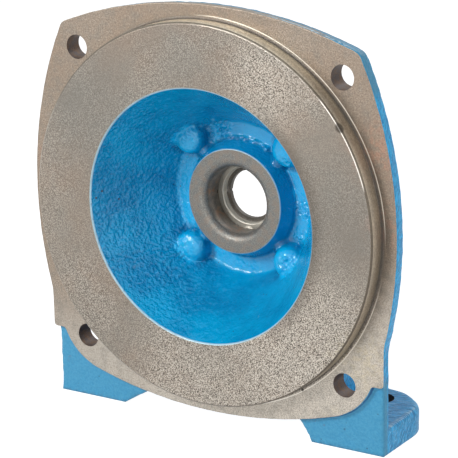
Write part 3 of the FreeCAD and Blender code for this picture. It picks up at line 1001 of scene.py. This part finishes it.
@dataclass
class HousingSkin:
    """The casting as it is seen: its CAD form with a cast skin and machined faces, in millimetres.

    A face counts as lying on a flat or a circle when it is nearer than near.
    """

    cup: CupSkin = field(default_factory=CupSkin)
    near: float = 0.05
    flange_face: float = 0.0
    groove_depth: float = 0.45
    relief_radius: float = 91.6
    pad_depth: float = 42.5
    pad_radius: float = 47.0
    register_depth: float = 3.3
    foot_level: float = -102.5
    hole_place: float = HOLE_CIRCLE_RADIUS * DIAGONAL
    hole_radius: float = 5.75
    tap_place: float = BOSS_CIRCLE_RADIUS * DIAGONAL
    tap_radius: float = 3.45
    tap_end: float = 24.0
    foot_hole: Tuple[float, float, float] = (67.0, 39.5, 7.0)
    support: float = 0.35
    outline_wander: float = 0.22
    wander_size: float = 9.0
    longest_edge: float = 3.1
    smoothing_rounds: int = 2
    lump_sizes: Tuple[float, float] = (7.0, 2.5)
    lump_heights: Tuple[float, float] = (0.14, 0.07)
    halvings: int = 9
    sharp_angle: float = 38.0

    def finish_of(self, centre: Vector, normal: Vector) -> Finish:
        """Finish of a face of the casting that isn't inside the cup.

        Args:
            centre: The face's centre in millimetres.
            normal: The face's outward normal.

        Returns:
            The finish that the face takes.
        """
        x, y, z = centre
        radius = math.hypot(x, z)
        across, behind, bore = self.foot_hole
        tap = math.hypot(abs(x) - self.tap_place, abs(z) - self.tap_place)
        hole = math.hypot(abs(x) - self.hole_place, abs(z) - self.hole_place)
        foot = math.hypot(abs(x) - across, y - behind)
        register = self.pad_depth - self.register_depth
        rules = (
            (normal.y < -0.9 and abs(y - self.flange_face) < self.near, Finish.TURNED),
            (y < self.groove_depth and radius < self.relief_radius + 0.1, Finish.TURNED),
            (radius < self.cup.hub_radius and y < register + 0.2, Finish.BORED),
            (tap < self.tap_radius and y > self.tap_end, Finish.DRILLED),
            (y > register and radius < self.pad_radius - 0.2, Finish.TURNED),
            (hole < self.hole_radius + self.near, Finish.DRILLED),
            (foot < bore + self.near and abs(normal.z) < 0.5, Finish.DRILLED),
            (normal.z < -0.9 and abs(z - self.foot_level) < self.near, Finish.TURNED))
        return next((finish for holds, finish in rules if holds), Finish.PAINT)

    def in_cup(self, centre: Vector, normal: Vector) -> bool:
        """Tells whether a face belongs to the painted inside of the cup.

        Args:
            centre: The face's centre in millimetres.
            normal: The face's outward normal.

        Returns:
            Whether the cup's own skin takes its place.
        """
        cup, radius, y = self.cup, math.hypot(centre.x, centre.z), centre.y
        wall = cup.mouth_depth + (cup.mouth_radius - radius) * cup.wall_slope()
        if radius > cup.mouth_radius or y > min(wall, cup.floor_depth) + 0.6 or normal.y > 0.3:
            return False
        spigot_face = normal.y < -0.99 and abs(y - cup.mouth_depth) < self.near
        hub_face = radius < cup.hub_radius + 0.01 and normal.y < -0.95
        if spigot_face or hub_face or radius < cup.hub_radius - 0.2:
            return False
        return radius > cup.hub_radius or y > cup.hub_depth + self.near

    def loop_at(self, mesh: bmesh.types.BMesh, radius: float, depth: float) -> Ring:
        """Open vertices on a circle round the shaft.

        Args:
            mesh: The mesh that is searched.
            radius: Radius of the circle in millimetres.
            depth: Y of the circle in millimetres.

        Returns:
            The vertices on the circle, by rising angle.
        """
        found = [v for v in mesh.verts if v.is_boundary and abs(v.co.y / MM - depth) < self.near
                 and abs(math.hypot(v.co.x, v.co.z) / MM - radius) < self.near]
        return sorted(found, key=lambda v: math.atan2(v.co.z, v.co.x))

    def support_edges(self, mesh: bmesh.types.BMesh) -> None:
        """Adds a narrow band inside every flat machined face, so that its shading stays flat."""
        flat = [f for f in mesh.faces if f.material_index in (Finish.TURNED.value, Finish.BORED.value)
                and max(abs(c) for c in f.normal) > 0.99999]
        bmesh.ops.inset_region(mesh, faces=flat, thickness=self.support * MM, use_boundary=True,
                               use_even_offset=True)

    def refine(self, mesh: bmesh.types.BMesh) -> None:
        """Halves the long edges of painted faces until none is left.

        Args:
            mesh: The mesh that is refined.
        """
        for _ in range(self.halvings):
            long_edges = [e for e in mesh.edges if e.calc_length() > self.longest_edge * MM
                          and any(f.material_index == Finish.PAINT.value for f in e.link_faces)]
            if not long_edges:
                break
            bmesh.ops.bisect_edges(mesh, edges=long_edges, cuts=1)
            bmesh.ops.triangulate(mesh, faces=[f for f in mesh.faces if len(f.verts) > 3])

    def wander(self, mesh: bmesh.types.BMesh) -> None:
        """Lets the cast outline of the flange wander a little inwards.

        Args:
            mesh: The mesh whose outline moves.
        """
        edge = [v for v in mesh.verts if abs(v.co.y) < 1e-6
                and math.hypot(v.co.x, v.co.z) / MM > self.relief_radius + 0.8
                and {f.material_index for f in v.link_faces} == {Finish.PAINT.value, Finish.TURNED.value}]
        height = lumps(np.array([v.co[:] for v in edge]) / MM, self.wander_size, 3)
        for vertex, rise in zip(edge, height):
            inward = Vector((-vertex.co.x, 0.0, -vertex.co.z)).normalized()
            vertex.co += inward * (min(abs(float(rise)), 1.0) * self.outline_wander * MM)

    def roughen(self, mesh: bmesh.types.BMesh) -> None:
        """Softens the cast edges and raises the lumps of the cast skin.

        Args:
            mesh: The mesh whose painted faces are changed.
        """
        paint = Finish.PAINT.value
        cast = [v for v in mesh.verts
                if v.link_faces and all(f.material_index == paint for f in v.link_faces)]
        for _ in range(self.smoothing_rounds):
            bmesh.ops.smooth_vert(mesh, verts=cast, factor=0.5,
                                  use_axis_x=True, use_axis_y=True, use_axis_z=True)
        mesh.normal_update()
        points = np.array([v.co[:] for v in cast]) / MM
        (wide, small), (high, low) = self.lump_sizes, self.lump_heights
        height = lumps(points, wide, 2) * high + lumps(points, small, 1) * low
        normals = [v.normal.copy() for v in cast]
        for vertex, normal, rise in zip(cast, normals, height):
            vertex.co += normal * (float(rise) * MM)

    @staticmethod
    def keep_inside(mesh: bmesh.types.BMesh) -> None:
        """Draws every vertex back into the box of the CAD model.

        Args:
            mesh: The mesh that has to stay inside.
        """
        low, high = (Vector(corner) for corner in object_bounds())
        for vertex in mesh.verts:
            vertex.co = Vector(min(max(c, a), b) for c, a, b in zip(vertex.co, low, high))

    @staticmethod
    def close(mesh: bmesh.types.BMesh, ring: Ring, loop: Ring) -> None:
        """Welds a dense ring to a coarse loop on the same circle.

        The vertex of the ring that is nearest to each corner of the loop moves onto it, and
        the ring's other vertices split the loop's edges, so that the seam has no gap.

        Args:
            mesh: The mesh that holds both.
            ring: Vertices of the dense ring, by rising angle.
            loop: Open vertices of the coarse loop, by rising angle.
        """
        count = len(ring)
        seats = [min(range(count), key=lambda i: (ring[i].co - vertex.co).length_squared) for vertex in loop]
        seam = list(loop)
        for seat, vertex in zip(seats, loop):
            ring[seat].co = vertex.co
        for start, end, low, high in zip(loop, loop[1:] + loop[:1], seats, seats[1:] + seats[:1]):
            edge = next(e for e in start.link_edges if e.other_vert(start) is end)
            for step in range(1, (high - low) % count):
                start = bmesh.utils.edge_split(edge, start, 0.5)[1]
                start.co = ring[(low + step) % count].co
                seam.append(start)
        bmesh.ops.triangulate(mesh, faces=[f for f in mesh.faces if len(f.verts) > 4])
        bmesh.ops.remove_doubles(mesh, verts=ring + seam, dist=1e-7)

    def build(self) -> bpy.types.Object:
        """Builds the visible casting in place of its CAD node.

        Returns:
            The finished object.
        """
        mesh = bmesh.new()
        mesh.from_mesh(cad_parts[NODE].data)
        bmesh.ops.remove_doubles(mesh, verts=mesh.verts, dist=1e-6)
        mesh.normal_update()
        inside = []
        for face in mesh.faces:
            centre = face.calc_center_median() / MM
            face.smooth = True
            if self.in_cup(centre, face.normal):
                inside.append(face)
            else:
                face.material_index = self.finish_of(centre, face.normal).value
        bmesh.ops.delete(mesh, geom=inside, context="FACES")
        for change in (self.support_edges, self.refine, self.wander, self.roughen, self.keep_inside):
            change(mesh)
        cup = self.cup
        circles = (cup.mouth_radius, cup.mouth_depth), (cup.hub_radius, cup.hub_depth)
        loops = [self.loop_at(mesh, radius, depth) for radius, depth in circles]
        for ring, loop in zip(cup.build(mesh, Finish.PAINT.value), loops):
            self.close(mesh, ring, loop)
        bmesh.ops.dissolve_degenerate(mesh, edges=mesh.edges, dist=2e-6)
        data = bpy.data.meshes.new(PIECE)
        mesh.to_mesh(data)
        mesh.free()
        data.set_sharp_from_angle(angle=math.radians(self.sharp_angle))
        return placed(PIECE, data)

    def dress(self, made: bpy.types.Object) -> None:
        """Puts the finishes on the casting's slots."""
        for finish in (BluePaint(), TurnedIron(), BoredIron(), DrilledIron()):
            made.data.materials.append(finish.build())


def placed(name: str, data: bpy.types.ID) -> bpy.types.Object:
    """Makes an object of a mesh, a lamp or a camera and adds it to the scene.

    Args:
        name: Name of the object.
        data: What the object shows.

    Returns:
        The object.
    """
    made = bpy.data.objects.new(name, data)
    bpy.context.scene.collection.objects.link(made)
    return made


def direction(azimuth: float, elevation: float) -> Vector:
    """Unit vector away from the object, in degrees round it from its front and above the horizon."""
    turn, rise = math.radians(azimuth), math.radians(elevation)
    return Vector((math.sin(turn) * math.cos(rise), -math.cos(turn) * math.cos(rise), math.sin(rise)))


@dataclass
class Studio:
    """Floor, lamps, surroundings and camera, in millimetres and degrees."""

    camera_place: Place = (537.8, -820.5, 284.8)
    camera_turn: float = 32.7027
    camera_rise: float = 16.5995
    camera_roll: float = -1.2499
    focal_pixels: float = 2238.47
    picture_pixels: float = 458.0
    sensor: float = 36.0
    clip: Tuple[float, float] = (50.0, 20000.0)
    floor_level: float = -102.6
    floor_half: float = 3000.0
    surround: float = 0.17

    def camera(self) -> None:
        """Places the camera where the photograph was taken."""
        back, roll = direction(self.camera_turn, self.camera_rise), math.radians(self.camera_roll)
        right = direction(self.camera_turn + 90.0, 0.0)
        up = back.cross(right)
        side = right * math.cos(roll) + up * math.sin(roll)
        top = up * math.cos(roll) - right * math.sin(roll)
        data = bpy.data.cameras.new("camera")
        data.sensor_width = self.sensor
        data.lens = self.focal_pixels / self.picture_pixels * self.sensor
        data.clip_start, data.clip_end = (limit * MM for limit in self.clip)
        made = placed("camera", data)
        turned = Matrix((side, top, back)).transposed().to_4x4()
        made.matrix_world = Matrix.Translation(Vector(self.camera_place) * MM) @ turned
        bpy.context.scene.camera = made

    @staticmethod
    def lamp(name: str, azimuth: float, elevation: float, distance: float, size: float, light: float) -> None:
        """Adds a square soft lamp that points at the object's middle.

        Args:
            name: Name of the lamp.
            azimuth: Degrees round the object.
            elevation: Degrees above the horizon.
            distance: Distance from the object in metres.
            size: Side of the lamp in metres.
            light: Light that falls on a surface facing the lamp; pi shows a colour as it is written.
        """
        away = direction(azimuth, elevation)
        data = bpy.data.lights.new(name, "AREA")
        data.shape, data.size = "SQUARE", size
        data.energy = light * math.pi * distance ** 2
        made = placed(name, data)
        made.location = away * distance
        made.rotation_mode = "QUATERNION"
        made.rotation_quaternion = away.to_track_quat("Z", "Y")

    def floor(self) -> None:
        """Lays the floor."""
        half, level = self.floor_half * MM, self.floor_level * MM
        data = bpy.data.meshes.new("floor")
        corners = [(-half, -half, level), (half, -half, level), (half, half, level), (-half, half, level)]
        data.from_pydata(corners, [], [(0, 1, 2, 3)])
        data.materials.append(PaleFloor().build())
        placed("floor", data)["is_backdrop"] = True

    def surroundings(self) -> None:
        """Fills the world with soft light, white to the camera and to gloss."""
        world = bpy.data.worlds.new("studio")
        bpy.context.scene.world = world
        graph = Graph(world)
        strength = graph.blend(graph.seen(), self.surround, 1.0)
        back = graph.node("ShaderNodeBackground", sockets={"Color": WHITE, "Strength": strength})
        graph.node("ShaderNodeOutputWorld", sockets={"Surface": back})

    def build(self) -> None:
        """Sets up the whole studio."""
        self.camera()
        self.floor()
        self.surroundings()
        self.lamp("key_lamp", azimuth=-31.0, elevation=30.0, distance=1.3, size=0.32, light=2.3)
        self.lamp("front_lamp", azimuth=14.0, elevation=10.0, distance=1.6, size=1.0, light=0.7)
        self.lamp("side_lamp", azimuth=76.0, elevation=14.0, distance=1.5, size=0.8, light=0.8)
        self.lamp("back_lamp", azimuth=170.0, elevation=42.0, distance=1.6, size=0.9, light=0.7)
        bpy.context.scene.view_settings.view_transform = "Standard"


def main() -> None:
    """Builds the dressed casting and its studio in order."""
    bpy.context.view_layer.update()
    skin = HousingSkin()
    casting = skin.build()
    skin.dress(casting)
    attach(casting, BODY)
    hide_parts(NODE)
    LOG.info("%s: %d faces, rides on %s", casting.name, len(casting.data.polygons), BODY)
    Studio().build()


if __name__ == "__main__":
    main()
